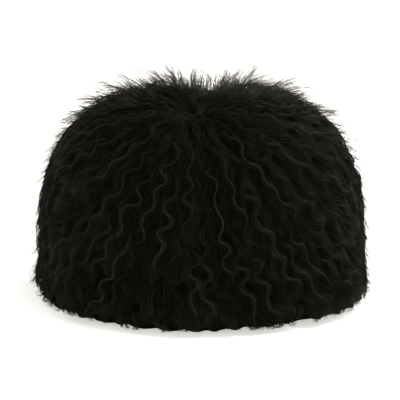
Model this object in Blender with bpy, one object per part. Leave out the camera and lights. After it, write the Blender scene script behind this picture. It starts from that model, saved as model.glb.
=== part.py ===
"""Long-wool papakha: a sheepskin band and a round sheepskin crown, sewn together, under one thick fleece.

The hat stands on its rim at z = 0, the wearer faces -Y, and the origin is on the floor under its middle.
"""

import math
import random

import bmesh
import bpy
import numpy as np

# Driving dimensions, in metres
HEAD_WIDTH = 0.166  # inside the band, side to side, for a 58 cm head
HEAD_DEPTH = 0.200  # inside the band, front to back
SKIN = 0.0025  # thickness of the tanned skin
GAP = 0.0003  # clearance where two pieces touch
BAND_HEIGHT = 0.120
BAND_TAPER = 0.97  # the band's width at its upper edge, as a share of the rim's
CROWN_RISE = 0.012
FLEECE_WIDTH = 0.291  # across the outline that the locks of wool lie on
FLEECE_DEPTH = 0.309
SKIN_FACETS = 48  # round the band and the crown

# The crown skin's outline from its middle to its edge. Columns: spread and rise, both as shares
CROWN_OUTLINE = ((0.0, 1.0), (0.35, 0.93), (0.65, 0.70), (0.87, 0.36), (1.0, 0.0))

# The outline that the locks lie on, from the crown's middle to the hem.
# Columns: spread, as a share of half the fleece's width, and height over the floor
FLEECE_OUTLINE = (
    (0.00, 0.1765),
    (0.20, 0.1760),
    (0.36, 0.1745),
    (0.50, 0.1715),
    (0.63, 0.1645),
    (0.74, 0.1535),
    (0.83, 0.1390),
    (0.90, 0.1185),
    (0.95, 0.0950),
    (0.975, 0.0700),
    (0.99, 0.0440),
    (1.00, 0.0200),
    (0.985, 0.0000),
)

# The locks run side by side from the whorl to the hem. Their lines are drawn on the flattened fleece,
# a disc whose middle is the crown's and whose edge, 1 away from it, is the hem
LOCKS = 46
ROWS = 44  # along a lock
WHORL = (0.0, -0.17)  # its middle, towards the front of the crown
WHORL_SHARE = 0.07  # of a lock's line, inside which the locks are one hollow
AIM_OUT = 0.55  # where a line first heads for, front to back, as a share of where it ends
AIM_ACROSS_FRONT = 0.24  # the same from side to side, for the locks that fan out over the front
AIM_ACROSS_BACK = 0.62
SINK = 0.008  # how deep the whorl's hollow lies
SINK_REACH = 0.021  # from its middle to where it is shallow

RIDGE = 0.0052  # how far a full lock's middle stands over the outline
FURROW = 0.0036  # how far the parting between two locks lies under it
CRIMP_LENGTH = 0.036
CRIMP_SWING = 0.0036  # to each side
CRIMP_ROOM = 0.22  # the most that a lock swings where locks crowd, as a share of their spacing
SEED = 4

# How full a lock is along its own length. Columns: share of its length, share of its ridge
LOCK_FULLNESS = ((0.0, 0.25), (0.25, 0.85), (0.6, 1.0), (0.88, 1.05), (1.0, 0.55))
LOCK_ENDS = (0.26, 0.50, 0.74)  # where on a line the tip of one lock lies over the root of the next
END_SCATTER = 0.09

# How far the tufts behind the whorl stand up. Columns: share of a line, height
TUFTS = ((0.0, 0.0), (0.08, 0.006), (0.18, 0.011), (0.28, 0.005), (0.40, 0.0), (1.0, 0.0))

# How far the tips at the hem splay over the floor. Columns: share of a line, distance
HEM_SPLAY = ((0.0, 0.0), (0.94, 0.0), (1.0, 0.004))

WOOL_COLOUR = (0.0075, 0.0073, 0.0056, 1.0)
SKIN_COLOUR = (0.030, 0.024, 0.018, 1.0)


def clear_scene():
    for old in list(bpy.data.objects):
        bpy.data.objects.remove(old, do_unlink=True)


def material(name, colour, roughness):
    made = bpy.data.materials.new(name)
    made.use_nodes = True
    shader = made.node_tree.nodes["Principled BSDF"]
    shader.inputs["Base Color"].default_value = colour
    shader.inputs["Roughness"].default_value = roughness
    shader.inputs["Metallic"].default_value = 0.0
    return made


def add_object(name, mesh, finish):
    made = bpy.data.objects.new(name, mesh)
    bpy.context.scene.collection.objects.link(made)
    mesh.materials.append(finish)
    return made


def ellipse_ring(half_width, half_depth, height, count=SKIN_FACETS):
    turn = np.arange(count) * 2 * math.pi / count
    return np.stack(
        [half_width * np.cos(turn), half_depth * np.sin(turn), np.full(count, height)], axis=1
    )


def loft(name, rings, pole_first=None, pole_last=None, looped=False):
    """A closed skin through rings of equal count, with a fan to each pole, or from the last ring to the first."""
    shape = bmesh.new()
    rows = [[shape.verts.new(point) for point in ring] for ring in rings]
    count = len(rows[0])
    pairs = list(zip(rows, rows[1:]))
    if looped:
        pairs.append((rows[-1], rows[0]))
    for upper, lower in pairs:
        for i in range(count):
            j = (i + 1) % count
            shape.faces.new((upper[i], lower[i], lower[j], upper[j]))
    for pole, row in ((pole_first, rows[0]), (pole_last, rows[-1])):
        if pole is None:
            continue
        tip = shape.verts.new(pole)
        for i in range(count):
            shape.faces.new((tip, row[i], row[(i + 1) % count]))
    bmesh.ops.recalc_face_normals(shape, faces=shape.faces)
    mesh = bpy.data.meshes.new(name)
    shape.to_mesh(mesh)
    shape.free()
    mesh.shade_smooth()
    mesh.set_sharp_from_angle(angle=math.radians(60))
    return mesh


def band_half_sizes(height, outwards):
    """Half the band's width and depth at a height, measured outwards from its inner face."""
    taper = 1 - (1 - BAND_TAPER) * height / BAND_HEIGHT
    return HEAD_WIDTH / 2 * taper + outwards, HEAD_DEPTH / 2 * taper + outwards


def band_rings(outwards, count=SKIN_FACETS):
    """Rings up a face of the band, from the rim to its upper edge."""
    heights = (0.0, BAND_HEIGHT / 2, BAND_HEIGHT)
    return [ellipse_ring(*band_half_sizes(height, outwards), height, count) for height in heights]


def crown_rings(outwards, lift, count=SKIN_FACETS):
    """Rings down a face of the crown, and its pole. The face lies outwards of and above the skin's inner face."""
    half_width, half_depth = band_half_sizes(BAND_HEIGHT, outwards)
    foot = BAND_HEIGHT + GAP + lift
    rings = [
        ellipse_ring(half_width * spread, half_depth * spread, foot + CROWN_RISE * rise, count)
        for spread, rise in CROWN_OUTLINE[1:]
    ]
    return rings, (0.0, 0.0, foot + CROWN_RISE)


def band_skin(finish):
    """The side of the hat: one strip of skin round the head, open below and above."""
    rings = band_rings(0.0) + band_rings(SKIN)[::-1]
    return add_object("band_skin", loft("band_skin", rings, looped=True), finish)


def crown_skin(finish):
    """The round top of the hat: a shallow dome of skin sewn edge to edge onto the band."""
    upper, upper_pole = crown_rings(SKIN, SKIN)
    lower, lower_pole = crown_rings(SKIN, 0.0)
    mesh = loft("crown_skin", upper + lower[::-1], pole_first=upper_pole, pole_last=lower_pole)
    return add_object("crown_skin", mesh, finish)


def unit(vectors):
    return vectors / np.linalg.norm(vectors, axis=-1, keepdims=True)


def outline_lengths():
    """How far along the fleece's outline each of its rows lies, in metres, measured on the side."""
    spread, height = np.array(FLEECE_OUTLINE).T
    steps = np.hypot(np.diff(spread) * FLEECE_WIDTH / 2, np.diff(height))
    return np.concatenate([[0.0], np.cumsum(steps)])


def fleece_point(disc):
    """Points of the outline turned round its middle, from their places on the flattened fleece."""
    along = outline_lengths()
    spread, height = np.array(FLEECE_OUTLINE).T
    share = np.linalg.norm(disc, axis=-1)
    reach = np.interp(share * along[-1], along, spread) / np.maximum(share, 1e-9)
    across = disc * reach[..., None] * np.array([FLEECE_WIDTH, FLEECE_DEPTH]) / 2
    return np.concatenate([across, np.interp(share * along[-1], along, height)[..., None]], axis=-1)


def fleece_normal(disc):
    """The way out of the wool at those places, from their neighbours on each side."""
    step = 0.02
    inside = disc * np.minimum(1.0, (1 - step) / np.linalg.norm(disc, axis=-1, keepdims=True))
    slopes = [fleece_point(inside + way) - fleece_point(inside - way) for way in np.eye(2) * step]
    return unit(np.cross(*slopes))


def lock_courses():
    """The middle lines of the locks on the flattened fleece: curves from the whorl that fan out to the hem."""
    turn = np.arange(LOCKS) * 2 * math.pi / LOCKS
    end = np.stack([np.cos(turn), np.sin(turn)], axis=-1)
    across = np.interp(np.sin(turn), [-1, 1], [AIM_ACROSS_FRONT, AIM_ACROSS_BACK])
    aim = end * np.stack([across, np.full(LOCKS, AIM_OUT)], axis=-1)
    t = np.linspace(WHORL_SHARE, 1.0, ROWS)[:, None, None]
    return (1 - t) ** 2 * np.array(WHORL) + 2 * t * (1 - t) * aim + t**2 * end


def lock_relief(share):
    """How far each lock stands over the outline at each share of its line, and its crimp's start and length."""
    chance = random.Random(SEED)
    ridges, starts, crimps = [], [], []
    start = 0.0
    for lock in range(LOCKS):
        start += chance.uniform(0.2, 1.4)
        starts.append(start)
        crimps.append(CRIMP_LENGTH * chance.uniform(0.9, 1.1))
        tips = [tip + chance.uniform(-END_SCATTER, END_SCATTER) for tip in LOCK_ENDS]
        ends = [0.0, *tips, 1.0]
        own = np.minimum(np.interp(share, ends, range(len(ends))), len(ends) - 1.001) % 1.0
        full = np.interp(own, *np.array(LOCK_FULLNESS).T) * chance.uniform(0.75, 1.2)
        behind = max(0.0, math.sin(2 * math.pi * lock / LOCKS))
        tuft = np.interp(share, *np.array(TUFTS).T) * chance.uniform(0.3, 1.0) * behind
        splay = np.interp(share, *np.array(HEM_SPLAY).T) * chance.uniform(0.3, 1.6)
        ridges.append(RIDGE * full + tuft + splay)
    return np.array(ridges).T, np.array(starts), np.array(crimps)


def lock_rings():
    """Rings down the fleece, whose points lie on a lock's ridge and in the furrow beside it by turns."""
    course = lock_courses()
    ridge, start, crimp = lock_relief(np.linspace(0.0, 1.0, ROWS))
    line = fleece_point(course)
    normal = fleece_normal(course)
    aside = np.cross(normal, unit(np.gradient(line, axis=0)))
    length = np.cumsum(np.linalg.norm(np.diff(line, axis=0, prepend=line[:1]), axis=-1), axis=0)
    room = np.linalg.norm(np.roll(line, -1, axis=1) - line, axis=-1) * CRIMP_ROOM
    swing = np.minimum(CRIMP_SWING, room) * np.sin(2 * math.pi * length / crimp + start)
    from_whorl = np.linalg.norm(line - fleece_point(np.array(WHORL)), axis=-1)
    sink = SINK * np.exp(-((from_whorl / SINK_REACH) ** 2))
    line = line + aside * swing[:, :, None] - normal * sink[:, :, None]
    furrow = (line + np.roll(line, -1, axis=1)) / 2 - normal * FURROW
    points = np.stack([line + normal * ridge[:, :, None], furrow], axis=2).reshape(ROWS, -1, 3)
    points[:, :, 2] = np.maximum(points[:, :, 2], 0.0)
    points[-1, :, 2] = 0.0
    return list(points)


def fleece(finish):
    """The wool as one body: a thick hollow dome over both skins, whose outside is its locks."""
    band = band_rings(SKIN + GAP, 2 * LOCKS)
    crown, crown_pole = crown_rings(SKIN + GAP, SKIN + GAP, 2 * LOCKS)
    whorl_pole = fleece_point(np.array(WHORL)) - np.array([0.0, 0.0, SINK])
    mesh = loft("fleece", lock_rings() + band + crown[::-1], pole_first=whorl_pole, pole_last=crown_pole)
    return add_object("fleece", mesh, finish)


def main():
    clear_scene()
    leather = material("sheepskin", SKIN_COLOUR, 0.85)
    wool = material("black wool", WOOL_COLOUR, 0.6)
    hat = bpy.data.objects.new("papakha", None)
    bpy.context.scene.collection.objects.link(hat)
    for piece in (band_skin(leather), crown_skin(leather), fleece(wool)):
        piece.parent = hat


main()
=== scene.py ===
# Papakha: long black wool over a sheepskin hat, standing on its rim on a white floor.
# Lengths are metres. The wearer faces -Y and the floor is z = 0.

import math

import bpy
import numpy as np
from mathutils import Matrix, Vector


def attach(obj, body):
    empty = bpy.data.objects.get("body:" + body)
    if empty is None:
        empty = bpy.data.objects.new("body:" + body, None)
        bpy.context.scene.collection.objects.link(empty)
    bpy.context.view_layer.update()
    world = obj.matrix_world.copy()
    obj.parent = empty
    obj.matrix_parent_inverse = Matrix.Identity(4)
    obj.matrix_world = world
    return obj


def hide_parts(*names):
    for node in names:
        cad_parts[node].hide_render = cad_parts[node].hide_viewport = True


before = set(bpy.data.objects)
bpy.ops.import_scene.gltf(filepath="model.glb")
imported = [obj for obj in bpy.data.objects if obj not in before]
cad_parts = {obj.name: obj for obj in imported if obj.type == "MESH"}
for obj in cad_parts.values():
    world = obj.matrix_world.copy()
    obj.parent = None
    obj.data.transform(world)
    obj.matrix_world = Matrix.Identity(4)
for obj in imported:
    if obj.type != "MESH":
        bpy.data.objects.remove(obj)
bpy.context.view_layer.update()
scene = bpy.context.scene


# Vectors and meshes

def unit(vectors):
    return vectors / np.maximum(np.linalg.norm(vectors, axis=-1, keepdims=True), 1e-12)


def dot(a, b):
    return (a * b).sum(axis=-1, keepdims=True)


def onCurve(values, pairs):
    # the values read on a bent line through pairs of place and height, which is level past its ends
    return np.interp(values, *np.array(pairs).T)


def addPiece(name, points, faces, finish, facts):
    # A mesh from points (n, 3) and triangles (m, 3), which stands for the frame's fleece.
    # Each fact is an attribute of it, with one number or vector for each point.
    mesh = bpy.data.meshes.new(name)
    mesh.vertices.add(len(points))
    mesh.vertices.foreach_set("co", np.asarray(points, np.float32).ravel())
    mesh.loops.add(faces.size)
    mesh.loops.foreach_set("vertex_index", faces.astype(np.int32).ravel())
    mesh.polygons.add(len(faces))
    mesh.polygons.foreach_set("loop_start", np.arange(0, faces.size, 3, dtype=np.int32))
    mesh.update(calc_edges=True)
    mesh.shade_smooth()
    for fact, values in facts.items():
        isVector = np.ndim(values) == 2
        made = mesh.attributes.new(fact, "FLOAT_VECTOR" if isVector else "FLOAT", "POINT")
        made.data.foreach_set("vector" if isVector else "value", np.asarray(values, np.float32).ravel())
    mesh.materials.append(finish)
    piece = bpy.data.objects.new(name, mesh)
    scene.collection.objects.link(piece)
    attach(piece, "root")
    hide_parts("fleece")
    print("made", name, len(faces), "triangles")


def gridFaces(rows, columns):
    # two triangles for each cell of a grid of points whose last column meets its first
    i, j = np.meshgrid(np.arange(rows - 1), np.arange(columns), indexing="ij")
    k = (j + 1) % columns
    a, b, c, d = i * columns + j, (i + 1) * columns + j, (i + 1) * columns + k, i * columns + k
    return np.concatenate([np.stack([a, b, c], -1).reshape(-1, 3), np.stack([a, c, d], -1).reshape(-1, 3)])


def tubes(line, out, wide, high, sides):
    # Closed tubes along lines (n, steps, 3). Each step has an oval ring, wide along the fleece and high
    # away from it: the line's point, plus side * cos(angle) * wide, plus up * sin(angle) * high.
    count, steps = wide.shape
    forward = unit(np.gradient(line, axis=1))
    side = unit(np.cross(out, forward))
    up = np.cross(forward, side)
    angle = math.pi / 2 - np.arange(sides) * 2 * math.pi / sides
    ring = (side[:, :, None] * np.cos(angle)[:, None] * wide[:, :, None, None]
            + up[:, :, None] * np.sin(angle)[:, None] * high[:, :, None, None])
    points = (line[:, :, None] + ring).reshape(-1, 3)
    fan = np.stack([np.zeros(sides - 2, int), np.arange(1, sides - 1), np.arange(2, sides)], -1)
    faces = np.concatenate([gridFaces(steps, sides), fan, fan[:, ::-1] + (steps - 1) * sides])
    faces = faces[None] + np.arange(count)[:, None, None] * steps * sides
    return points, faces.reshape(-1, 3)


def joinMeshes(meshes):
    # several (points, faces, facts) as one
    starts = np.cumsum([0] + [len(points) for points, faces, facts in meshes])
    points = np.concatenate([points for points, faces, facts in meshes])
    faces = np.concatenate([faces + start for (points, faces, facts), start in zip(meshes, starts)])
    facts = {key: np.concatenate([facts[key] for points, faces, facts in meshes]) for key in meshes[0][2]}
    return points, faces, facts


# Materials

def linear(hexCode):
    # an sRGB hex code as linear red, green, blue and alpha
    parts = [int(hexCode[i:i + 2], 16) / 255 for i in (1, 3, 5)]
    return [p / 12.92 if p <= 0.04045 else ((p + 0.055) / 1.055) ** 2.4 for p in parts] + [1.0]


def newMaterial(name):
    made = bpy.data.materials.new(name)
    made.use_nodes = True
    made.node_tree.nodes.clear()
    return made


def addNode(tree, kind, settings=None, inputs=None, links=None):
    # inputs are values by socket, links are (socket, node, the node's output)
    node = tree.nodes.new(kind)
    for key, value in (settings or {}).items():
        setattr(node, key, value)
    for key, value in (inputs or {}).items():
        node.inputs[key].default_value = value
    for key, source, output in links or ():
        tree.links.new(source.outputs[output], node.inputs[key])
    return node


def setRamp(node, stops):
    ramp = node.color_ramp
    while len(ramp.elements) < len(stops):
        ramp.elements.new(1.0)
    for element, (place, colour) in zip(ramp.elements, stops):
        element.position = place
        element.color = colour


longWool = dict(  # the deep wool: nearly black, with a soft and weak lustre
    root="#0a0a08",
    middle="#171610",
    tip="#221f18",
    contrast=0.75,  # how far the toneAndPaintedLight attribute, a strand's tone with its painted light, moves a strand's colour
    roughness=0.65,
    shine=0.10,
    streak=0.0,
    sheen=0.0,
)
ridgeHighlightWool = dict(  # locks that lie on top, painted lighter and greyer than the deep wool: a painted highlight on the ridges
    root="#0f0e0c",
    middle="#23211b",
    tip="#2a2822",
    contrast=0.5,
    roughness=0.65,
    shine=0.09,
    streak=0.0,
    sheen=0.0,
)
paintedBacklitWool = dict(  # single fine hairs, painted lighter and browner than the rest: painted light, for thin hairs lit from above and behind
    root="#13120f",
    middle="#27241d",
    tip="#464135",
    contrast=0.6,
    roughness=0.5,
    shine=0.2,
    streak=0.0,
    sheen=0.0,
)
denseWool = dict(  # matted wool below the locks: no lustre, and the grain of many fibres
    root="#090806",
    middle="#0c0b09",
    tip="#0c0b09",
    contrast=0.4,
    roughness=0.85,
    shine=0.09,
    streak=0.0009,  # depth of the grain
    sheen=0.030,
)
woolPattern = dict(
    middleAt=0.55,  # share of a strand's length at which it has its middle colour
    detail=3.0,
    fineness=0.65,  # how strong the finest fibres are
    grey=(0.35, 0.65),  # the part of the grain's noise that is used
    shades=(0.45, 1.55),  # and the factors on the colour that it becomes
)
shineTint = (0.98, 0.97, 0.78, 1.0)  # black dye takes the blue out of what wool reflects


def woolMaterial(name, look):
    # Black-dyed sheep's wool: dark, softly lustrous fibres, faded to brown towards the tips.
    # The along attribute runs from a strand's root to its tip, and toneAndPaintedLight differs from strand
    # to strand and also holds painted light and shade.
    # Grain is a place in a pattern whose fibres run along the lock.
    made = newMaterial(name)
    tree = made.node_tree
    along = addNode(tree, "ShaderNodeAttribute", {"attribute_name": "along"})
    toneAndPaintedLight = addNode(tree, "ShaderNodeAttribute", {"attribute_name": "toneAndPaintedLight"})
    ramp = addNode(tree, "ShaderNodeValToRGB", links=[("Fac", along, "Fac")])
    stops = [(0.0, "root"), (woolPattern["middleAt"], "middle"), (1.0, "tip")]
    setRamp(ramp, [(place, linear(look[key])) for place, key in stops])
    shade = addNode(tree, "ShaderNodeMapRange", inputs={
        "From Min": 0.0, "From Max": 1.0, "To Min": 1 - look["contrast"], "To Max": 1 + look["contrast"],
    }, links=[("Value", toneAndPaintedLight, "Fac")])
    colour = addNode(tree, "ShaderNodeVectorMath", {"operation": "SCALE"}, links=[
        (0, ramp, "Color"), ("Scale", shade, "Result")])
    shader = addNode(tree, "ShaderNodeBsdfPrincipled", inputs={
        "Roughness": look["roughness"], "Specular IOR Level": look["shine"], "Specular Tint": shineTint,
        "Sheen Weight": look["sheen"], "Sheen Tint": shineTint,
    }, links=[("Base Color", colour, "Vector")])
    if look["streak"]:
        grain = addNode(tree, "ShaderNodeAttribute", {"attribute_name": "grain"})
        fibres = addNode(tree, "ShaderNodeTexNoise", inputs={
            "Scale": 1.0, "Detail": woolPattern["detail"], "Roughness": woolPattern["fineness"],
        }, links=[("Vector", grain, "Vector")])
        bump = addNode(tree, "ShaderNodeBump", inputs={
            "Strength": 1.0, "Distance": look["streak"]}, links=[("Height", fibres, "Fac")])
        low, high = woolPattern["grey"]
        dark, light = woolPattern["shades"]
        streaks = addNode(tree, "ShaderNodeMapRange", inputs={
            "From Min": low, "From Max": high, "To Min": dark, "To Max": light,
        }, links=[("Value", fibres, "Fac")])
        streaked = addNode(tree, "ShaderNodeVectorMath", {"operation": "SCALE"}, links=[
            (0, colour, "Vector"), ("Scale", streaks, "Result")])
        tree.links.new(bump.outputs["Normal"], shader.inputs["Normal"])
        tree.links.new(streaked.outputs["Vector"], shader.inputs["Base Color"])
    addNode(tree, "ShaderNodeOutputMaterial", links=[("Surface", shader, "BSDF")])
    return made


# The hat's form, which lies just inside the ridges of the frame's fleece

hat = dict(
    width=0.291,  # across the outline that the locks lie on
    depth=0.309,
    outline=(  # from the crown's middle to the hem: spread as a share of half the width, and height
        (0.00, 0.1765), (0.20, 0.1765), (0.36, 0.1760), (0.50, 0.1740), (0.61, 0.1670), (0.715, 0.1555),
        (0.82, 0.1400), (0.91, 0.1190), (0.965, 0.0950), (0.99, 0.0700), (1.00, 0.0440), (1.01, 0.0200),
        (1.035, 0.0000),
    ),
    skirt=0.009,  # how far the hem's tips can lie out over the floor
    rounding=0.007,  # length of outline over which its corners are smoothed
    samples=2401,  # readings along the outline and its mirrored half
    whorl=(-0.015, -0.17),  # on the flattened fleece, whose edge is the hem, 1 away from its middle
    sink=0.008,  # depth of the whorl's hollow
    sinkReach=0.021,
    swells=(  # where the wool stands higher or lower than the outline: place, rise, reach
        ((0.108, -0.01, 0.152), 0.003, 0.045),
        ((-0.095, -0.02, 0.165), -0.002, 0.030),
        ((-0.122, 0.0, 0.147), 0.003, 0.035),
        ((-0.004, -0.080, 0.173), -0.004, 0.011),
        ((-0.004, -0.100, 0.164), -0.004, 0.011),
        ((-0.004, -0.117, 0.150), -0.003, 0.011),
        ((0.065, 0.030, 0.175), -0.0005, 0.035),
        ((-0.060, 0.055, 0.172), -0.003, 0.035),
        ((0.006, 0.035, 0.176), -0.007, 0.024),
        ((0.006, 0.075, 0.174), -0.008, 0.028),
        ((-0.147, 0.0, 0.075), 0.002, 0.050),
        ((0.145, 0.0, 0.09), 0.002, 0.050),
        ((0.105, -0.105, 0.006), 0.009, 0.045),
        ((0.000, -0.150, 0.004), 0.0045, 0.060),
        ((0.130, -0.075, 0.004), 0.006, 0.035),
        ((-0.100, -0.110, 0.006), 0.007, 0.045),
    ),
)


def smoothOutline():
    # The outline and the skirt as spread and height at even lengths, each averaged over the rounding.
    # A mirrored half is smoothed with it, so that the crown's middle stays level, and is then cut off.
    spread, height = np.array(hat["outline"]).T
    steps = np.hypot(np.diff(spread) * hat["width"] / 2, np.diff(height))
    along = np.concatenate([[0.0], np.cumsum(steps)])
    hem = along[-1]
    spread = np.append(spread, spread[-1] + hat["skirt"] / (hat["width"] / 2))
    height = np.append(height, 0.0)
    along = np.append(along, hem + hat["skirt"])
    fine = np.linspace(-along[-1], along[-1], hat["samples"])
    reach = np.sign(fine) * np.interp(abs(fine), along, spread)
    rise = np.interp(abs(fine), along, height)
    window = np.hanning(2 * int(hat["rounding"] / (fine[1] - fine[0])) + 1)
    window /= window.sum()
    pad = len(window) // 2
    reach = np.convolve(np.pad(reach, pad, mode="edge"), window, mode="valid")
    rise = np.convolve(np.pad(rise, pad, mode="edge"), window, mode="valid")
    keep = fine >= -1e-9  # from the crown's middle on
    return fine[keep] / hem, reach[keep], rise[keep], hem


outlineShare, outlineSpread, outlineHeight, hemLength = smoothOutline()
endShare = outlineShare[-1]


def fleecePoint(disc):
    # the outline turned round the hat's middle, read at places on the flattened fleece
    share = np.linalg.norm(disc, axis=-1)
    reach = np.interp(share, outlineShare, outlineSpread) / np.maximum(share, 1e-9)
    x = disc[..., 0] * reach * hat["width"] / 2
    y = disc[..., 1] * reach * hat["depth"] / 2
    return np.stack([x, y, np.interp(share, outlineShare, outlineHeight)], -1)


def fleeceSlopes(disc):
    # how the point moves with each of the two disc coordinates
    step = 0.004  # of the disc's radius
    return [(fleecePoint(disc + way) - fleecePoint(disc - way)) / (2 * step) for way in np.eye(2) * step]


whorlPoint = fleecePoint(np.array(hat["whorl"]))


def relief(points):
    # how far the fleece stands off its outline: a bell curve round the whorl's hollow, and round each swell
    high = 0.0
    for place, rise, reach in ((whorlPoint, -hat["sink"], hat["sinkReach"]), *hat["swells"]):
        away = np.linalg.norm(points - np.array(place), axis=-1, keepdims=True)
        high = high + rise * np.exp(-((away / reach) ** 2))
    return high


# The lay of the wool

lay = dict(
    lookDown=13.0,  # degrees that the photograph looks down by
    grazing=0.50,  # a ray bends back no more than it does where the fleece leans this much to the front
    frontShare=(0.15, 0.50),  # how much the fleece must lean to the front to be combed into rays
    fall=((-0.02, 0.7), (0.12, 1.1)),  # how steeply it falls elsewhere, by y
    crimp=0.0240,  # length of one wave, as seen from in front
    whorlRoom=0.008,  # how near the whorl's middle wool can root
    rootSteps=12,  # strides back from a lock's middle to its root
    rings=200,  # readings of the fleece's area from its middle to its edge
    jitterOut=0.05,  # how far places are moved in or out, as a share of their jitter in radians
)
lookDown = math.radians(lay["lookDown"])
lookAlong = np.array([0.0, math.cos(lookDown), -math.sin(lookDown)])
lookRight = np.array([1.0, 0.0, 0.0])
lookUp = np.cross(lookRight, lookAlong)


def seenLength(vectors):
    # how long vectors are on the picture plane
    return np.hypot(vectors @ lookRight, vectors @ lookUp)[..., None]


def combing(point, normal):
    # Which way the wool lies. From in front its locks are straight rays from the whorl: a ray on the
    # picture plane, tilted until it lies in the fleece. Elsewhere it runs away from the whorl and falls,
    # more so towards the back. The two headings are mixed by how much the fleece leans to the front.
    away = point - whorlPoint
    lean = -dot(normal, lookAlong)
    ray = away - lookAlong * dot(away, lookAlong)
    ray = ray + lookAlong * dot(ray, normal) / np.maximum(lean, lay["grazing"])
    fall = onCurve(point[..., 1:2], lay["fall"])
    free = unit(away) - fall * np.array([0.0, 0.0, 1.0])
    low, high = lay["frontShare"]
    share = np.clip((lean - low) / (high - low), 0, 1)
    share = share * share * (3 - 2 * share)
    combed = unit(ray - normal * dot(ray, normal))
    fallen = unit(free - normal * dot(free, normal))
    return unit(combed * share + fallen * (1 - share))


def follow(place, distance):
    # Moves each place on the flattened fleece by its distance along the combing, and says what was there.
    # The move is the two steps on the disc whose slopes add up to the heading: two equations, solved.
    point = fleecePoint(place)
    slopeU, slopeV = fleeceSlopes(place)
    normal = unit(np.cross(slopeU, slopeV))
    heading = combing(point, normal)
    uu, uv, vv = dot(slopeU, slopeU), dot(slopeU, slopeV), dot(slopeV, slopeV)
    alongU, alongV = dot(heading, slopeU), dot(heading, slopeV)
    move = np.concatenate([vv * alongU - uv * alongV, uu * alongV - uv * alongU], -1)
    move = move / (uu * vv - uv * uv)
    return place + move * distance[:, None], point, normal, heading


def rootsFor(middles, distance):
    # the places that lie the distance upstream of the middles, or as far as the whorl's edge
    place, steps = middles.copy(), lay["rootSteps"]
    for step in range(steps):
        room = np.linalg.norm(fleecePoint(place) - whorlPoint, axis=-1) - lay["whorlRoom"]
        place = follow(place, -np.clip(room, 0, distance / steps))[0]
    return place


def evenPlaces(count, chance, near, far, jitter):
    # places spread evenly over the fleece: each is turned on by the golden angle, and out by an equal area
    i = np.arange(count) + 0.5
    share = np.linspace(near, far, lay["rings"])
    area = np.cumsum(np.interp(share, outlineShare, outlineSpread))
    share = np.interp(i / count, (area - area[0]) / (area[-1] - area[0]), share)
    share = share + chance.uniform(-jitter, jitter, count) * lay["jitterOut"]
    turn = i * math.pi * (3 - math.sqrt(5)) + chance.uniform(0, jitter, count)
    return np.stack([share * np.cos(turn), share * np.sin(turn)], -1)


def whorlPlaces(count, chance, near, far, start, stop):
    # places in part of a ring round the whorl, in degrees, with 90 straight behind it
    turn = np.radians(chance.uniform(start, stop, count))
    away = chance.uniform(near, far, count)
    return np.array(hat["whorl"]) + np.stack([away * np.cos(turn), away * np.sin(turn)], -1)


# Locks of wool

lockForm = dict(
    endRoom=0.015,  # least way from root to end, as a share of that from the fleece's middle to the hem
    leastSeen=0.45,  # a stride counts as at least this share of its length in the lap
    wander=1.1,  # radians by which the crimp's phase strays over the fleece
    wanderPace=(37.0, 11.0, 23.0),  # and how fast it does along x, y and z
    fray=(0.06, 0.145),  # distance from the hat's middle where sideFray begins, and where it is all there
    rise=(0.08, 0.14),  # the same for sideLift
    bend=0.25,  # radians of a wave by which readings move towards its bends
    bendFrom=((0, 0), (0.05, 1)),
    paceDrift=0.7,  # radians by which waves come early or late
    paceDriftPace=97,
    swingDrift=0.42,  # share by which the swing grows and shrinks
    swingDriftPace=83,
    rootSwing=((0, 0.15), (0.12, 1.0)),  # share of the swing near the root
    drawn=0.2,  # how far bends are drawn out, as a share of the swing
    sharper=0.07,  # how much sharper than a sine's the bends are
    rootOut=((0, 1), (0.14, 0)),  # share of the root's depth
)


def layLocks(recipe, roots, lengths, chance):
    # What the strands of each lock share: its line over the fleece, read at even steps, and its crimp.
    # Each stride follows the combing, and strides get shorter where the lock would pass its end.
    # The lap is the way along it as seen from in front, so that a crimp looks as long at the side as in the
    # middle. Neighbouring locks crimp together, because the crimp's phase is the way from the whorl.
    count, steps = len(roots), recipe["steps"]
    rootShare = np.linalg.norm(roots, axis=-1)
    ends = np.maximum(chance.uniform(*recipe["ends"], count), rootShare + lockForm["endRoom"])
    ends = np.minimum(ends, endShare)
    place, rows = roots.copy(), []
    for step in range(steps):
        room = np.maximum(ends - np.linalg.norm(place, axis=-1), 0.0) * hemLength
        stride = np.minimum(lengths / (steps - 1), room / max(steps - 1 - step, 1))
        place, point, normal, heading = follow(place, stride)
        rows.append((point, normal, heading))
    points, normals, headings = (np.stack(row, 1) for row in zip(*rows))
    strides = np.diff(points, axis=1)
    whole = np.linalg.norm(strides, axis=-1, keepdims=True)
    strides = np.maximum(seenLength(strides), lockForm["leastSeen"] * whole)
    lap = np.concatenate([np.zeros((count, 1, 1)), np.cumsum(strides, 1)], 1)
    root = points[:, 0]
    wander = lockForm["wander"] * np.sin(root @ np.array(lockForm["wanderPace"]))
    wander = wander + chance.normal(0, recipe["phase"], count)
    phase = 2 * math.pi * seenLength(root - whorlPoint)[:, 0] / lay["crimp"] + wander
    lock = dict(points=points, normals=normals, headings=headings, lap=lap, phase=phase[:, None, None])
    for key in ("crimp", "swing", "lift", "width", "thickness", "toneAndPaintedLight"):
        lock[key] = chance.uniform(*recipe[key], (count, 1, 1))
    lock["drift"] = chance.uniform(0, 2 * math.pi, (2, count, 1, 1))
    lock["sideways"] = abs(points[:, steps // 2, 0])
    lock["fray"] = np.interp(lock["sideways"], lockForm["fray"], (1.0, recipe["sideFray"]))[:, None, None]
    rise = np.interp(lock["sideways"], lockForm["rise"], (1.0, recipe["sideLift"]))[:, None, None]
    for key in ("lift", "thickness"):
        lock[key] = lock[key] * rise
    return lock


def readRows(rows, where):
    # rows (locks, steps, k) read at fractional steps (locks, strands, steps)
    low = np.clip(where.astype(int), 0, rows.shape[1] - 2)
    part = (where - low)[..., None]
    lock = np.arange(rows.shape[0])[:, None, None]
    return rows[lock, low] * (1 - part) + rows[lock, low + 1] * part


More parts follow.
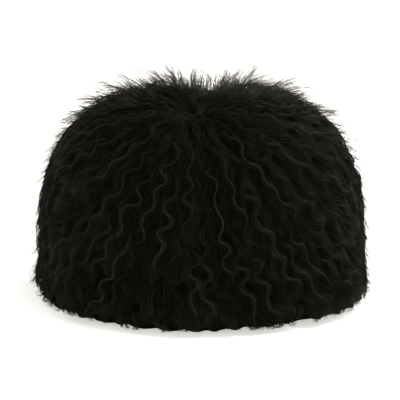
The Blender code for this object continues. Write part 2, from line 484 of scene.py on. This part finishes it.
def crimpedLines(recipe, lock, t, lag):
    # Where strands lie at shares t of their lock, whose lap there is s: on the fleece, across it and out.
    # The crimp is a sine of the lap, whose pace and swing drift a little and whose bends are drawn out. The
    # coil is its cosine, in and out. The shares are moved first, so that more of them lie at the bends.
    pace = 2 * math.pi / (lay["crimp"] * lock["crimp"])
    bend = lockForm["bend"] * onCurve(t, lockForm["bendFrom"]) / (pace * lock["lap"][:, -1:])
    for moved in (False, True):
        where = t * (lock["points"].shape[1] - 1)
        s = readRows(lock["lap"], where)[..., 0]
        drift = lockForm["paceDrift"] * np.sin(lockForm["paceDriftPace"] * s + lock["drift"][1])
        turn = pace * s + lock["phase"] + lag + drift
        if not moved:
            t = np.clip(t + bend * np.sin(2 * turn), 0, 1)
    centre, normal, heading = (readRows(lock[key], where) for key in ("points", "normals", "headings"))
    swing = lock["swing"] * onCurve(t, (*lockForm["rootSwing"], (1, recipe["tipSwing"])))
    drift = lockForm["swingDrift"] * np.sin(lockForm["swingDriftPace"] * s + lock["drift"][0])
    swing = swing * (1 + drift) / np.sqrt(lock["fray"])
    centre = centre - heading * (lockForm["drawn"] * swing * np.sin(2 * turn))[..., None]
    across = swing * (np.sin(turn) + lockForm["sharper"] * np.sin(3 * turn))
    out = swing * recipe["coil"] * np.cos(turn) + lock["lift"] * onCurve(t, recipe["rise"])
    out = out - recipe["rootDepth"] * onCurve(t, lockForm["rootOut"])
    return centre, normal, np.cross(normal, heading), s, across, out


def sway(chance, shape, s, wavelengths):
    # a smooth random sway along each strand: a mean of sines with random starts
    starts = chance.uniform(0, 2 * math.pi, (len(wavelengths), *shape))
    waves = [np.sin(2 * math.pi * s / length + start) for length, start in zip(wavelengths, starts)]
    return sum(waves) / len(wavelengths)


strandForm = dict(
    fullness=(0.75, 1.2),  # how far from the lock's middle strands lie, as a share of its width
    looseCore=0.4,  # how loose a strand at the lock's middle is, next to one at its edge
    looseOut=0.7,  # and how far it strays outwards, next to sideways
    acrossWaves=(0.061, 0.034),  # lengths of the waves that strands stray by
    outWaves=(0.053, 0.029),
    frizzWaves=(0.013, 0.0087),
    taper=((0, 0.7), (0.1, 1), (0.7, 0.85), (1, 0.18)),
    flat=0.8,  # height of a strand as a share of its width
    paintedLockLightEdge=0.6,  # painted light: cosine of the angle from which strands are darker than their lock, not lighter
    toneWave=0.18,  # how much a lock's tone changes along it, and how fast
    tonePace=45,
    toneSpread=0.08,  # and from strand to strand
    whorlPaintedShade=((0.010, 0.2), (0.045, 1)),  # painted shade: factor on the tone by the distance from the whorl, darker in its hollow
)


def strandMesh(recipe, lock, chance, keep):
    # Single strands over each kept lock's body, as three-sided tapered tubes. Each lies at an angle round
    # the lock: the lock's line, plus its width times the sine across and its thickness times the cosine
    # outwards, plus sways that grow towards its tip. No strand goes below the floor.
    shape = (len(lock["phase"]), recipe["strands"], 1)
    reach = chance.uniform(*recipe["strandLength"], shape)
    t = np.linspace(0, 1, recipe["steps"]) * reach
    angle = chance.uniform(-1, 1, shape) * recipe["wrap"]
    lag = chance.normal(0, recipe["lag"], shape) * lock["fray"]
    centre, normal, side, s, across, out = crimpedLines(recipe, lock, t, lag)
    fullness = onCurve(t, recipe["fullness"]) * chance.uniform(*strandForm["fullness"], shape) / 2
    edge = strandForm["looseCore"] + abs(angle) / recipe["wrap"]
    loose = chance.uniform(*recipe["loose"], shape) * t * edge
    across = across + lock["width"] * fullness * np.sin(angle)
    across = across + loose * sway(chance, shape, s, strandForm["acrossWaves"])
    across = across + recipe["frizz"] * lock["fray"] * sway(chance, shape, s, strandForm["frizzWaves"])
    out = out + lock["thickness"] * fullness * np.cos(angle)
    out = out + loose * strandForm["looseOut"] * sway(chance, shape, s, strandForm["outWaves"])
    line = centre + side * across[..., None] + normal * (out[..., None] + relief(centre))
    half = chance.uniform(*recipe["halfWidth"], shape) * onCurve(t / reach, strandForm["taper"])
    line[..., 2] = np.maximum(line[..., 2], half)
    # painted light and shade: strands on top of a lock are lighter, those round its sides and near the
    # whorl darker
    toneAndPaintedLight = lock["toneAndPaintedLight"] + recipe["paintedLockLight"] * (np.cos(angle) - strandForm["paintedLockLightEdge"])
    toneAndPaintedLight = toneAndPaintedLight + strandForm["toneWave"] * np.sin(strandForm["tonePace"] * s + lock["drift"][0])
    toneAndPaintedLight = np.clip(toneAndPaintedLight + chance.normal(0, strandForm["toneSpread"], shape), 0, 1)
    toneAndPaintedLight = toneAndPaintedLight * onCurve(np.linalg.norm(centre - whorlPoint, axis=-1), strandForm["whorlPaintedShade"])
    line, normal, half, t, toneAndPaintedLight = (a[keep].reshape(-1, *a.shape[2:]) for a in (line, normal, half, t, toneAndPaintedLight))
    points, faces = tubes(line, normal, half, half * strandForm["flat"], 3)
    return points, faces, dict(along=np.repeat(t.ravel(), 3), toneAndPaintedLight=np.repeat(toneAndPaintedLight.ravel(), 3))


# Locks, layer by layer. Two numbers are the least and the most of what is drawn for each lock or strand:
# length: of a lock, and strandLength: the share of it that a strand has
# ends: how far out a lock can end, as a share of the way over the fleece from its middle to the hem
# crimp: the length of a wave, as a share of the lay's
# swing: how far a wave swings sideways, tipSwing: as a share of that at the tip, coil: the same outwards
# width and thickness: of a lock, lift: how high it stands off the fleece
# loose: how far strands stray from their lock at its tip, halfWidth: of a strand
# toneAndPaintedLight: how light the wool is, from 0 to 1, by its own tone and by painted light
# One number is the same for the whole layer:
# steps: readings along a strand
# phase and lag: radians by which the waves of neighbouring locks, and of a lock's strands, differ
# sideFray and sideLift: factors on lag and frizz, and on lift and thickness, at the hat's left and right
# paintedLockLight: painted light, how much lighter the strands on top of a lock's middle are and how much
# darker those round its sides, wrap: radians that its strands reach round it
# rootDepth: how deep it starts, frizz: how far a strand's own small waves swing
# fullness and rise: factors on the width and on the lift, by the share of the lock's length
# spread: the nearest and furthest that a lock's middle lies from the fleece's, and its jitter in radians
# ring: the nearest and furthest that a lock starts from the whorl's middle, and spans: degrees round it

bulkLocks = dict(  # the deep locks that cover the hat
    count=105, spread=(0.16, 0.97, 0.35), strands=8, steps=27,
    length=(0.075, 0.110), strandLength=(0.75, 1.0), ends=(0.965, 1.010),
    crimp=(0.95, 1.08), phase=0.4, swing=(0.0018, 0.0030), tipSwing=1.0, coil=0.25, lag=0.45, sideFray=1.6,
    sideLift=0.5, paintedLockLight=0.25,
    width=(0.010, 0.017), thickness=(0.003, 0.005), wrap=1.2,
    fullness=((0, 0.6), (0.25, 1.0), (0.75, 0.9), (1, 0.5)),
    lift=(-0.0015, 0.0015), rise=((0, 0), (0.2, 1), (1, 1.2)), rootDepth=0.005,
    loose=(0.0010, 0.0028), frizz=0.0004, halfWidth=(0.00022, 0.00038), toneAndPaintedLight=(0.05, 0.35),
    paintedSideLight=((0.04, 0.4), (0.12, 1.1)),  # painted light: factor on the tone by the distance from the hat's middle, darker there and lighter at its left and right
)
topLocks = dict(  # the crimped ridges that run from the whorl to the hem, with a high tone that is painted highlight
    tries=3400, spread=(0.05, 0.965, 1.0),
    gap=((0.060, 0.0076), (0.165, 0.0098)),  # least distance between two of them, by the root's height
    start=0.018,  # how near the whorl's middle they can root, as seen from in front
    readings=14,  # points of a new line that are tested
    compared=12,  # points of a kept line that they are tested against, from its root on
    strands=6, steps=36, length=(0.085, 0.150), strandLength=(0.85, 1.0), ends=(0.985, 1.016),
    crimp=(0.95, 1.06), phase=0.4, swing=(0.0024, 0.0040), tipSwing=1.0, coil=0.35, lag=0.12, sideFray=1.5,
    sideLift=0.5, paintedLockLight=0.75,
    width=(0.0026, 0.0052), thickness=(0.0045, 0.0065), wrap=1.4,
    fullness=((0, 0.6), (0.2, 1.0), (0.6, 0.85), (1, 0.35)),
    lift=(0.0010, 0.0035), rise=((0, 0), (0.15, 1), (1, 1.3)), rootDepth=0.006,
    loose=(0.0002, 0.0022), frizz=0.0003, halfWidth=(0.00022, 0.00036), toneAndPaintedLight=(0.42, 0.85),
)
ridgeBodies = dict(  # the wool under each ridge, painted darker than the ridge: painted shade
    topLocks, strands=8, steps=26, lag=0.35, paintedLockLight=0.35, loose=(0.0006, 0.0024), frizz=0.0004,
    factors=dict(width=2.7, thickness=0.75, lift=0.2, toneAndPaintedLight=0.48),  # on what the ridge has; the factor on the tone is the painted shade
)
crownLocks = dict(  # locks close round the whorl
    count=69, ring=(0.02, 0.12), spans=((0, 360), (50, 130), (225, 315)), strands=8, steps=18,
    length=(0.050, 0.085), strandLength=(0.80, 1.0), ends=(0.980, 1.000),
    crimp=(0.95, 1.15), phase=0.8, swing=(0.0018, 0.0034), tipSwing=1.0, coil=0.35, lag=0.2, sideFray=1.5,
    sideLift=1.0, paintedLockLight=0.25,
    width=(0.004, 0.008), thickness=(0.003, 0.005), wrap=1.4,
    fullness=((0, 0.3), (0.3, 1.0), (0.75, 0.8), (1, 0.3)),
    lift=(0.000, 0.003), rise=((0, 0), (0.3, 1), (1, 1.0)), rootDepth=0.004,
    loose=(0.0010, 0.0025), frizz=0.0003, halfWidth=(0.00020, 0.00034), toneAndPaintedLight=(0.0, 0.35),
)
tuftLocks = dict(  # short tufts behind the whorl, to its left and right
    count=40, ring=(0.04, 0.34), spans=((0, 72), (108, 180)), strands=9, steps=11,
    length=(0.028, 0.048), strandLength=(0.70, 1.0), ends=(0.980, 1.000),
    crimp=(1.3, 2.0), phase=1.0, swing=(0.0006, 0.0018), tipSwing=1.0, coil=0.4, lag=0.4, sideFray=1.5,
    sideLift=1.0, paintedLockLight=0.2,
    width=(0.006, 0.012), thickness=(0.004, 0.007), wrap=2.0,
    fullness=((0, 0.25), (0.4, 1.0), (1, 1.2)),
    lift=(0.002, 0.009), rise=((0, 0), (0.4, 0.4), (1, 1.0)), rootDepth=0.003,
    loose=(0.001, 0.004), frizz=0.0004, halfWidth=(0.00014, 0.00024), toneAndPaintedLight=(0.2, 0.8),
)
crestWisps = dict(  # wisps that stand up behind the whorl, closest near the middle
    count=480, ring=(0.22, 0.53), spans=((32, 80), (60, 120), (70, 110), (26, 146), (100, 150)),
    strands=5, steps=7, length=(0.026, 0.048), strandLength=(0.7, 1.0), ends=(0.980, 1.000),
    crimp=(1.1, 2.0), phase=3.0, swing=(0.0012, 0.0036), tipSwing=1.5, coil=0.6, lag=0.3, sideFray=1.0,
    sideLift=1.0, paintedLockLight=0.1,
    width=(0.003, 0.007), thickness=(0.003, 0.006), wrap=3.1, fullness=((0, 0.5), (0.4, 1), (1, 0.3)),
    lift=(0.002, 0.030), rise=((0, 0), (0.4, 0.4), (1, 1.0)), rootDepth=0.003,
    loose=(0.001, 0.003), frizz=0.0003, halfWidth=(0.00013, 0.00022), toneAndPaintedLight=(0.2, 0.8),
)
hemLocks = dict(  # full locks that hang to the floor
    count=130, spread=(0.91, 0.98, 0.60), strands=17, steps=10,
    length=(0.032, 0.060), strandLength=(0.90, 1.0), ends=(0.984, 1.018),
    crimp=(0.8, 1.1), phase=1.5, swing=(0.0012, 0.0030), tipSwing=1.4, coil=0.6, lag=0.2, sideFray=1.3,
    sideLift=0.5, paintedLockLight=0.25,
    width=(0.011, 0.017), thickness=(0.003, 0.005), wrap=1.5,
    fullness=((0, 0.8), (0.5, 1.0), (1, 0.4)),
    lift=(-0.0010, 0.0022), rise=((0, 0), (0.25, 1), (1, 1.2)), rootDepth=0.005,
    loose=(0.0005, 0.0020), frizz=0.0003, halfWidth=(0.00034, 0.00050), toneAndPaintedLight=(0.06, 0.48),
)
flyaways = dict(  # single long hairs
    count=100, spread=(0.25, 0.97, 0.80), strands=1, steps=18,
    length=(0.030, 0.070), strandLength=(0.8, 1.0), ends=(0.980, 1.000),
    crimp=(0.7, 1.1), phase=2.0, swing=(0.0020, 0.0040), tipSwing=1.4, coil=0.8, lag=0.0, sideFray=1.0,
    sideLift=1.0, paintedLockLight=0.1,
    width=(0.001, 0.002), thickness=(0.001, 0.002), wrap=1.5, fullness=((0, 1), (1, 1)),
    lift=(0.002, 0.005), rise=((0, 0), (0.4, 0.7), (1, 1.2)), rootDepth=0.004,
    loose=(0.002, 0.004), frizz=0.0004, halfWidth=(0.00010, 0.00018), toneAndPaintedLight=(0.3, 0.8),
)
shortTips = dict(  # the fuzz of short hairs that softens the outline
    count=2700, spread=(0.12, 0.99, 0.80), strands=3, steps=4,
    length=(0.012, 0.022), strandLength=(0.7, 1.0), ends=(0.980, 1.010),
    crimp=(0.8, 1.4), phase=2.0, swing=(0.0006, 0.0018), tipSwing=1.3, coil=0.5, lag=0.3, sideFray=1.2,
    sideLift=1.7, paintedLockLight=0.2,
    width=(0.003, 0.006), thickness=(0.001, 0.002), wrap=1.5, fullness=((0, 1), (0.5, 0.9), (1, 0.5)),
    lift=(0.0015, 0.0065), rise=((0, 0), (0.4, 0.3), (1, 1.0)), rootDepth=0.002,
    loose=(0.0005, 0.0015), frizz=0.0002, halfWidth=(0.00014, 0.00023), toneAndPaintedLight=(0.0, 0.6),
    crown=(0.12, -0.05, 0.035),  # the fuzz above this height, behind this y and this far from the whorl gets the painted backlight, and has this factor on its lift by the root's height
    crownLift=((0.12, 1.7), (0.16, 2.4)),  # is faded, and has this factor on its lift by the root's height
)


def evenLocks(recipe, chance):
    # locks whose middles are spread evenly, so that no part of the fleece is bare
    lengths = chance.uniform(*recipe["length"], recipe["count"])
    middles = evenPlaces(recipe["count"], chance, *recipe["spread"])
    return layLocks(recipe, rootsFor(middles, lengths / 2), lengths, chance)


def spacedLocks(recipe, chance):
    # Locks that keep their distance. Many places are tried, those nearest the whorl first, and each is kept
    # if its line stays the gap away from all the lines that were kept before it.
    roots = evenPlaces(recipe["tries"], chance, *recipe["spread"])
    away = seenLength(fleecePoint(roots) - whorlPoint)[:, 0]
    clear = away > recipe["start"]
    roots = roots[clear][np.argsort(away[clear])]
    lengths = chance.uniform(*recipe["length"], len(roots))
    place, rows = roots.copy(), []
    for step in range(recipe["readings"]):
        place, point, normal, heading = follow(place, lengths / (recipe["readings"] - 1))
        rows.append(point)
    lines = np.stack(rows, 1)
    gap = onCurve(lines[:, 0, 2], recipe["gap"])
    kept = [0]
    for one in range(1, len(roots)):
        others = lines[kept][:, :recipe["compared"]].reshape(-1, 1, 3)
        if np.linalg.norm(others - lines[one], axis=-1).min() > gap[one]:
            kept.append(one)
    print("kept", len(kept), "spaced locks")
    return layLocks(recipe, roots[kept], lengths[kept], chance)


def whorlLocks(recipe, chance):
    # locks that start round the whorl, as many in each of its spans
    lengths = chance.uniform(*recipe["length"], recipe["count"])
    share = recipe["count"] // len(recipe["spans"])
    roots = [whorlPlaces(share, chance, *recipe["ring"], *span) for span in recipe["spans"]]
    return layLocks(recipe, np.concatenate(roots), lengths[:share * len(recipe["spans"])], chance)


def quarters(lock):
    # which locks have their middle at the front, right, back and left
    middle = lock["points"][:, lock["points"].shape[1] // 2]
    quarter = np.round(np.degrees(np.arctan2(middle[:, 1], middle[:, 0])) / 90).astype(int) % 4
    return {side: quarter == q for side, q in (("Front", 3), ("Right", 0), ("Back", 1), ("Left", 2))}


def onCrown(root):
    # which short hairs stand on the crown, away from the whorl
    height, behind, away = shortTips["crown"]
    fromWhorl = np.linalg.norm(root - whorlPoint, axis=-1)
    return (root[:, 2] > height) & (root[:, 1] > behind) & (fromWhorl > away)


def addStrands(name, parts, finish, chance):
    # one piece from parts of several layers: a recipe, its locks and which of them are kept
    meshes = [strandMesh(recipe, lock, chance, keep) for recipe, lock, keep in parts]
    points, faces, facts = joinMeshes(meshes)
    addPiece(name, points, faces, finish, facts)


def makeWool():
    # all the layers over the under-wool, where the long ones are cut into a piece for each side of the hat
    chance = np.random.default_rng(21)
    strandFinish = woolMaterial("dyed long wool", longWool)
    ridgeHighlightFinish = woolMaterial("wool on the ridges with painted highlight", ridgeHighlightWool)
    paintedBacklitFinish = woolMaterial("fine wool with painted backlight", paintedBacklitWool)
    bulk = evenLocks(bulkLocks, chance)
    # painted light: the deep wool is darker in the hat's middle and lighter at its sides
    bulk["toneAndPaintedLight"] = bulk["toneAndPaintedLight"] * onCurve(bulk["sideways"], bulkLocks["paintedSideLight"])[:, None, None]
    top = spacedLocks(topLocks, chance)
    body = dict(top)
    for key, factor in ridgeBodies["factors"].items():
        body[key] = top[key] * factor
    crown = whorlLocks(crownLocks, chance)
    tufts = whorlLocks(tuftLocks, chance)
    hem = evenLocks(hemLocks, chance)
    crest = whorlLocks(crestWisps, chance)
    fly = evenLocks(flyaways, chance)
    short = evenLocks(shortTips, chance)
    bulkSides, topSides, hemSides = quarters(bulk), quarters(top), quarters(hem)
    for side in bulkSides:
        parts = [(bulkLocks, bulk, bulkSides[side]), (hemLocks, hem, hemSides[side])]
        parts.append((ridgeBodies, body, topSides[side]))
        addStrands("strands" + side, parts, strandFinish, chance)
        addStrands("topStrands" + side, [(topLocks, top, topSides[side])], ridgeHighlightFinish, chance)
    everyLock = slice(None)
    parts = [(crownLocks, crown, everyLock), (tuftLocks, tufts, everyLock)]
    addStrands("crownStrands", parts, strandFinish, chance)
    addStrands("crest", [(crestWisps, crest, everyLock)], paintedBacklitFinish, chance)
    addStrands("looseHairs", [(flyaways, fly, everyLock)], paintedBacklitFinish, chance)
    root = short["points"][:, 0]
    upper = onCrown(root)
    raised = np.where(upper, onCurve(root[:, 2], shortTips["crownLift"]), 1.0)
    short["lift"] = short["lift"] * raised[:, None, None]
    addStrands("shortHairs", [(shortTips, short, ~upper)], strandFinish, chance)
    # painted light: the crown's short hairs get the lighter backlit finish, for the light on top of the hat
    addStrands("shortCrownHairs", [(shortTips, short, upper)], paintedBacklitFinish, chance)


# The under-wool: one closed coat of fine wool below the locks

coat = dict(
    columns=322,
    rows=70,
    start=0.02,  # share of the way from the whorl at which its first ring lies
    aimAcross=((-1, 0.16), (1, 0.62)),  # x of a line's middle point as a share of its end's, front to back
    aimAlong=0.55,  # and the same for its y
    below=0.0018,  # how far it lies under the outline
    lobes=46,
    lobe=0.0020,
    lobeRoom=0.012,  # width that a lobe needs for its full height, and the least share that it has
    lobeLeast=0.1,
    fibre=0.0006,
    crimp=0.026,
    crimpStart=(0.3, 1.3),  # radians from one lobe's crimp to the next one's
    swing=0.0030,
    swingShare=0.2,  # the most that it swings, as a share of a lobe's width
    tuck=0.015,  # how far its hem lies back under the locks
    tuckShare=((0.09, 1.0), (0.14, 0.35)),  # which is less at the hat's left and right
    tuckHeight=0.026,
    edge=(0.0018, 0.0042),  # how high its lower edge lies between the tips of the locks
    edgeRange=(0.2, 0.8),  # the random numbers, from 0 to 1, that give its least and its most
    edgeBlend=(0.25, 0.5, 0.25),  # shares of a column and its neighbours in the edge
    sideRise=0.0012,  # how much less it lies under the outline at the left and right
    sidePlace=((0.11, 0), (0.135, 1)),
    crownBelow=0.0040,  # how much further down it lies on the crown
    crownLevel=((0.8, 0), (0.97, 1)),  # which starts where the fleece is this level
    clear=0.0006,  # gap to the skins
    floorGap=0.0004,
    along=0.2,  # it has the colour that a strand has here, between its root and its tip
    poleTones=(0.5, 0.5),
    grainRound=110.0,  # radius of the ring of grain, whose fibres are 1.3 mm wide at the hem, to show
    grainAlong=45.0,  # per metre, so that they are 22 mm long
)
skins = dict(  # the outside of the frame's band and crown
    half=(0.0855, 0.1025),
    taper=0.97,
    height=0.1223,
    rise=0.012,
    dome=((0.87, 0.36), (0.65, 0.70), (0.35, 0.93)),  # spread as a share of its edge, height of the rise
)


def coatLines():
    # Lines from the whorl that fan out to the hem. Each is a curve on the flattened fleece from the whorl,
    # towards its middle point and on to its end: shares (1 - t)^2, 2t(1 - t) and t^2 of the three.
    turn = np.arange(coat["columns"]) * 2 * math.pi / coat["columns"]
    end = np.stack([np.cos(turn), np.sin(turn)], -1)
    across = onCurve(np.sin(turn), coat["aimAcross"])
    aim = end * np.stack([across, np.full(len(turn), coat["aimAlong"])], -1)
    t = np.linspace(coat["start"], 1.0, coat["rows"])[:, None, None]
    return (1 - t) ** 2 * np.array(hat["whorl"]) + 2 * t * (1 - t) * aim + t ** 2 * end, turn


def skinRing(turn, height, taper, spread=1.0):
    # an oval just outside the skins
    across, along = (half * taper * spread + coat["clear"] for half in skins["half"])
    return np.stack([across * np.cos(turn), along * np.sin(turn), np.full(len(turn), height)], -1)


def makeCoat(finish):
    # Rings from the whorl out to the hem, then in along the floor and up over the skins, closed at both
    # ends. The outside is the fleece moved along its normal by the relief and by a cosine of the turn, its
    # lobes, less the tuck at the hem. The lobes wave sideways by a sine of the length.
    chance = np.random.default_rng(11)
    disc, turn = coatLines()
    slopeU, slopeV = fleeceSlopes(disc)
    normal = unit(np.cross(slopeU, slopeV))
    point = fleecePoint(disc)
    side = np.cross(normal, unit(np.gradient(point, axis=0)))
    lap = np.cumsum(np.linalg.norm(np.diff(point, axis=0, prepend=point[:1]), axis=-1), 0)
    room = np.linalg.norm(np.roll(point, -1, 1) - point, axis=-1) * coat["columns"] / coat["lobes"]
    start = np.cumsum(chance.uniform(*coat["crimpStart"], coat["lobes"]))
    start = np.repeat(start, coat["columns"] // coat["lobes"])
    swing = np.minimum(coat["swing"], coat["swingShare"] * room)
    swing = swing * np.sin(2 * math.pi * lap / coat["crimp"] + start)
    lobes = coat["lobe"] * np.cos(coat["lobes"] * turn)
    lobes = lobes + coat["fibre"] * chance.normal(0, 1, coat["columns"])
    height = lobes * np.clip(room / coat["lobeRoom"], coat["lobeLeast"], 1) - coat["below"]
    tuck = coat["tuck"] * onCurve(abs(point[..., 0]), coat["tuckShare"])
    height = height - tuck * onCurve(point[..., 2], ((0, 1), (coat["tuckHeight"], 0)))
    height = height - coat["crownBelow"] * onCurve(normal[..., 2], coat["crownLevel"])
    height = height + coat["sideRise"] * onCurve(abs(point[..., 0]), coat["sidePlace"])
    outside = point + side * swing[..., None] + normal * (height[..., None] + relief(point))
    ragged = np.convolve(np.tile(chance.uniform(0, 1, coat["columns"]), 3), coat["edgeBlend"], mode="same")
    ragged = np.interp(ragged[coat["columns"]:-coat["columns"]], coat["edgeRange"], coat["edge"])
    outside[..., 2] = np.maximum(outside[..., 2], ragged)
    outside[-1, :, 2] = ragged
    top = skins["height"] + coat["clear"]
    levels = ((coat["floorGap"], 1.0), (top / 2, (1 + skins["taper"]) / 2), (top, skins["taper"]))
    inside = [skinRing(turn, height, taper) for height, taper in levels]
    for spread, rise in skins["dome"]:
        inside.append(skinRing(turn, top + skins["rise"] * rise, skins["taper"], spread))
    rings = np.concatenate([outside, np.stack(inside)])
    rows, columns = rings.shape[:2]
    poles = [whorlPoint - [0, 0, hat["sink"] + coat["below"]], [0, 0, top + skins["rise"]]]
    points = np.concatenate([rings.reshape(-1, 3), poles])
    j = np.arange(columns)
    k = (j + 1) % columns
    last = (rows - 1) * columns
    caps = [np.stack([np.full(columns, last + columns), j, k], -1),
            np.stack([np.full(columns, last + columns + 1), last + k, last + j], -1)]
    faces = np.concatenate([gridFaces(rows, columns), *caps])
    toneAndPaintedLight = np.append(np.tile(chance.uniform(0, 1, columns), rows), coat["poleTones"])
    length = np.concatenate([lap, np.repeat(lap[-1:], rows - len(lap), 0)])
    around, radius = np.broadcast_to(turn, length.shape), coat["grainRound"]
    grain = [radius * np.cos(around), radius * np.sin(around), coat["grainAlong"] * length]
    grain = np.concatenate([np.stack(grain, -1).reshape(-1, 3), np.zeros((2, 3))])
    facts = dict(along=np.full(len(points), coat["along"]), toneAndPaintedLight=toneAndPaintedLight, grain=grain)
    addPiece("underWool", points, faces, finish, facts)


makeCoat(woolMaterial("dense under-wool", denseWool))
makeWool()


# The two skins: tanned sheepskin, whose flesh side faces the hollow and only shows from below

suede = dict(
    colours=((0.3, "#2e251c"), (0.7, "#41362a")),  # places in the clouds of dye, and its browns there
    clouds=28.0,  # per metre, so that clouds are about 36 mm across
    cloudDetail=4.0,
    nap=900.0,  # per metre: a grain of about 1.1 mm, which is coarser than a real nap, so that it shows
    napDetail=3.0,
    napDepth=0.0004,
    napStrength=0.35,
    roughness=0.92,
    shine=0.2,
    sheen=0.06,
    sheenTint="#9a8064",
)


def skinMaterial():
    # Suede, the flesh side of tanned sheepskin: a short matt nap with a fine grain, over cloudy dye
    made = newMaterial("suede sheepskin")
    tree = made.node_tree
    place = addNode(tree, "ShaderNodeTexCoord")
    clouds = addNode(tree, "ShaderNodeTexNoise", inputs={
        "Scale": suede["clouds"], "Detail": suede["cloudDetail"]}, links=[("Vector", place, "Object")])
    nap = addNode(tree, "ShaderNodeTexNoise", inputs={
        "Scale": suede["nap"], "Detail": suede["napDetail"]}, links=[("Vector", place, "Object")])
    colour = addNode(tree, "ShaderNodeValToRGB", links=[("Fac", clouds, "Fac")])
    setRamp(colour, [(share, linear(dye)) for share, dye in suede["colours"]])
    bump = addNode(tree, "ShaderNodeBump", inputs={
        "Strength": suede["napStrength"], "Distance": suede["napDepth"]}, links=[("Height", nap, "Fac")])
    shader = addNode(tree, "ShaderNodeBsdfPrincipled", inputs={
        "Roughness": suede["roughness"], "Specular IOR Level": suede["shine"],
        "Sheen Weight": suede["sheen"], "Sheen Tint": linear(suede["sheenTint"]),
    }, links=[("Base Color", colour, "Color"), ("Normal", bump, "Normal")])
    addNode(tree, "ShaderNodeOutputMaterial", links=[("Surface", shader, "BSDF")])
    return made


hide = skinMaterial()
for name in ("band_skin", "crown_skin"):
    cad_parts[name].data.materials.clear()
    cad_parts[name].data.materials.append(hide)
print("skins finished")


# The studio: a white floor that glows a little, a white surround, and a large soft light overhead

studio = dict(
    floorSize=8.0,
    floorColour="#fbfaf7",
    floorGlow=0.56,
    floorTint=(1.0, 0.995, 0.97),
    floorRoughness=0.9,
    surround=0.64,
    tint=(1.0, 0.98, 0.93),
    keyPower=18.5,
    keySize=1.0,
    keyPlace=(0.60, 0.10, 1.38),
    keyTarget=(0.0, 0.0, 0.09),
)
view = dict(
    distance=1.56,
    lens=154.0,  # millimetres, as is the sensor's width
    sensor=36.0,
    clip=(0.05, 30.0),
    target=(-0.0013, 0.0, 0.0795),
)


def aimAt(thing, target):
    # turns a lamp or the camera so that its -Z looks at the target and its Y stays upright
    thing.rotation_euler = (Vector(target) - thing.location).to_track_quat("-Z", "Y").to_euler()


def makeFloor():
    # White paper: matt and even, lit from above, with a glow that keeps it as bright as the light tent
    side = studio["floorSize"] / 2
    corners = [(-side, -side, 0), (side, -side, 0), (side, side, 0), (-side, side, 0)]
    mesh = bpy.data.meshes.new("floor")
    mesh.from_pydata(corners, [], [(0, 1, 2, 3)])
    floor = bpy.data.objects.new("floor", mesh)
    scene.collection.objects.link(floor)
    made = newMaterial("white paper sweep")
    shader = addNode(made.node_tree, "ShaderNodeBsdfPrincipled", inputs={
        "Base Color": linear(studio["floorColour"]), "Specular IOR Level": 0.0,
        "Roughness": studio["floorRoughness"],
        "Emission Color": (*studio["floorTint"], 1.0), "Emission Strength": studio["floorGlow"],
    })
    addNode(made.node_tree, "ShaderNodeOutputMaterial", links=[("Surface", shader, "BSDF")])
    mesh.materials.append(made)


def makeLights():
    surround = bpy.data.worlds.new("light tent")
    surround.use_nodes = True
    background = surround.node_tree.nodes["Background"]
    background.inputs["Color"].default_value = (*studio["tint"], 1.0)
    background.inputs["Strength"].default_value = studio["surround"]
    scene.world = surround
    key = bpy.data.lights.new("key", "AREA")
    key.size = studio["keySize"]
    key.energy = studio["keyPower"]
    key.color = studio["tint"]
    lamp = bpy.data.objects.new("key", key)
    scene.collection.objects.link(lamp)
    lamp.location = studio["keyPlace"]
    aimAt(lamp, studio["keyTarget"])


def makeCamera():
    # the camera looks at its target from in front, from as high as the photograph does
    camera = bpy.data.cameras.new("camera")
    camera.lens = view["lens"]
    camera.sensor_width = view["sensor"]
    camera.clip_start, camera.clip_end = view["clip"]
    seen = bpy.data.objects.new("camera", camera)
    scene.collection.objects.link(seen)
    x, y, z = view["target"]
    back, rise = view["distance"] * math.cos(lookDown), view["distance"] * math.sin(lookDown)
    seen.location = (x, y - back, z + rise)
    aimAt(seen, view["target"])
    scene.camera = seen


makeFloor()
makeLights()
makeCamera()
scene.view_settings.view_transform = "Standard"
print("studio done")
